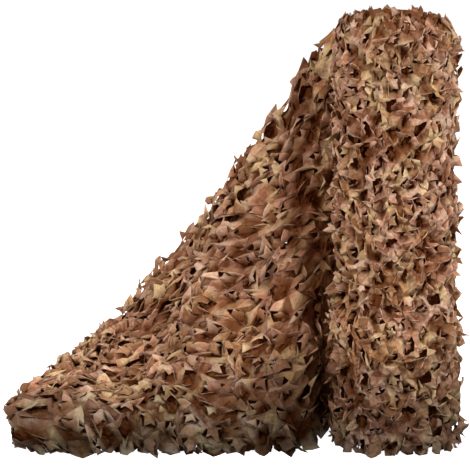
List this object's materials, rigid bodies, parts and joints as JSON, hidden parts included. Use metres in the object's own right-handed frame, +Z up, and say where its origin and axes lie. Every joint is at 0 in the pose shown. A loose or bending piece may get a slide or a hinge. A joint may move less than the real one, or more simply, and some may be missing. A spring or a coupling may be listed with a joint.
{
  "type": "camouflage netting roll",
  "caption": "Upright roll of die-cut camouflage netting in sand and brown, with its loose end fallen back and lying on the floor at one side.",
  "frame": {"origin": "on the floor, in the middle of the roll's flat base", "axes": "+Z up along the roll; the loose end falls towards -X and back towards +Y; the front of the roll faces -Y"},
  "size_m": [1.6135, 1.4363, 1.5212],
  "materials": {
    "netting_roll": "matt printed polyester, sand, pinkish brown and dark brown, slit and wound in many layers",
    "netting_sheet": "matt printed polyester, sand, pinkish brown and dark brown, slit and pulled open"
  },
  "bodies": {
    "root": {"net_roll": "netting_roll", "net_tail": "netting_sheet"}
  },
  "joints": []
}
